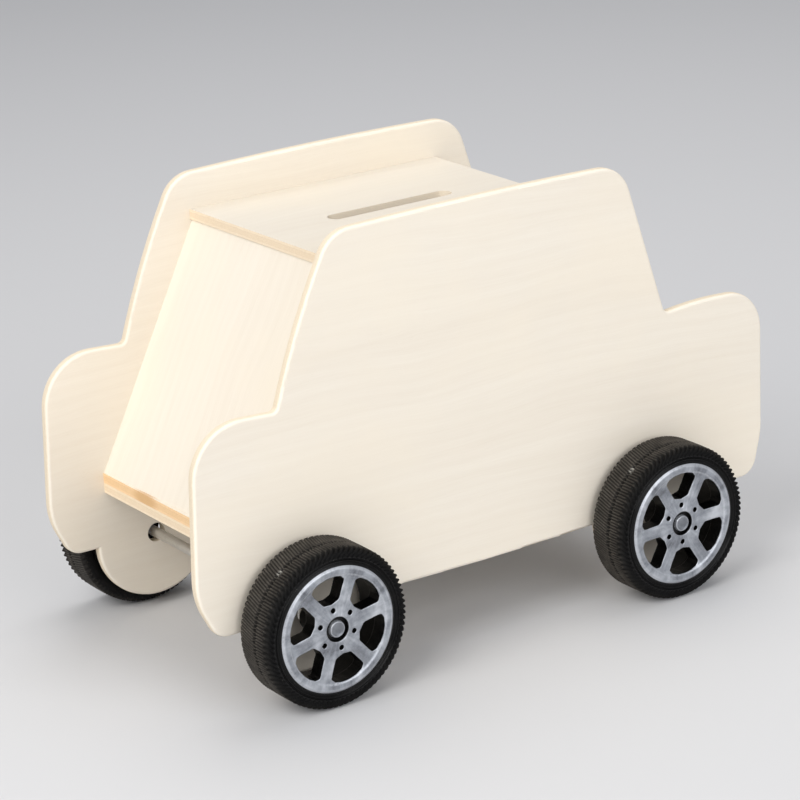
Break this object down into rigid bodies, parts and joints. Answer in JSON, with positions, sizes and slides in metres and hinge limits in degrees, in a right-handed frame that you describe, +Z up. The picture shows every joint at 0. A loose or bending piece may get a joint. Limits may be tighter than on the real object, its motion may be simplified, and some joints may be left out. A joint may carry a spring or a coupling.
{
  "type": "wheeled wooden coin bank car",
  "caption": "Unfinished plywood car coin bank: two car-shaped side panels joined by boards, a roof slot, and wheels with treaded tyres on steel axles.",
  "frame": {"origin": "on the floor, below the middle of the overall bounding box", "axes": "+X forward (towards the bonnet with the more raked screen), +Y the car's left side, +Z up"},
  "size_m": [0.1648, 0.0952, 0.1074],
  "materials": {
    "ply": "bare sanded light plywood",
    "tyre": "matt black moulded tyre with tread",
    "wheel_silver": "black moulded plastic with a satin silver face",
    "steel": "plain drawn steel rod",
    "plug": "soft black stopper"
  },
  "bodies": {
    "box": {"side_panel_left": "ply", "side_panel_right": "ply", "roof_board": "ply", "front_board": "ply", "rear_board": "ply", "floor_board": "ply", "base_board": "ply"},
    "plug": {"coin_plug": "plug"},
    "front_wheelset": {"front_axle": "steel", "front_left_wheel": "wheel_silver", "front_left_tyre": "tyre", "front_left_cap": "wheel_silver", "front_right_wheel": "wheel_silver", "front_right_tyre": "tyre", "front_right_cap": "wheel_silver"},
    "rear_wheelset": {"rear_axle": "steel", "rear_left_wheel": "wheel_silver", "rear_left_tyre": "tyre", "rear_left_cap": "wheel_silver", "rear_right_wheel": "wheel_silver", "rear_right_tyre": "tyre", "rear_right_cap": "wheel_silver"}
  },
  "joints": [
    {"name": "front_axle_roll", "type": "hinge", "parent": "box", "child": "front_wheelset", "pos_m": [0.0541, 0, 0.0192], "axis": [0, 1, 0], "continuous": true},
    {"name": "rear_axle_roll", "type": "hinge", "parent": "box", "child": "rear_wheelset", "pos_m": [-0.0459, 0, 0.0192], "axis": [0, 1, 0], "continuous": true},
    {"name": "plug_pull", "type": "slide", "parent": "box", "child": "plug", "axis": [0, 0, -1], "range_m": [0, 0.012]}
  ]
}
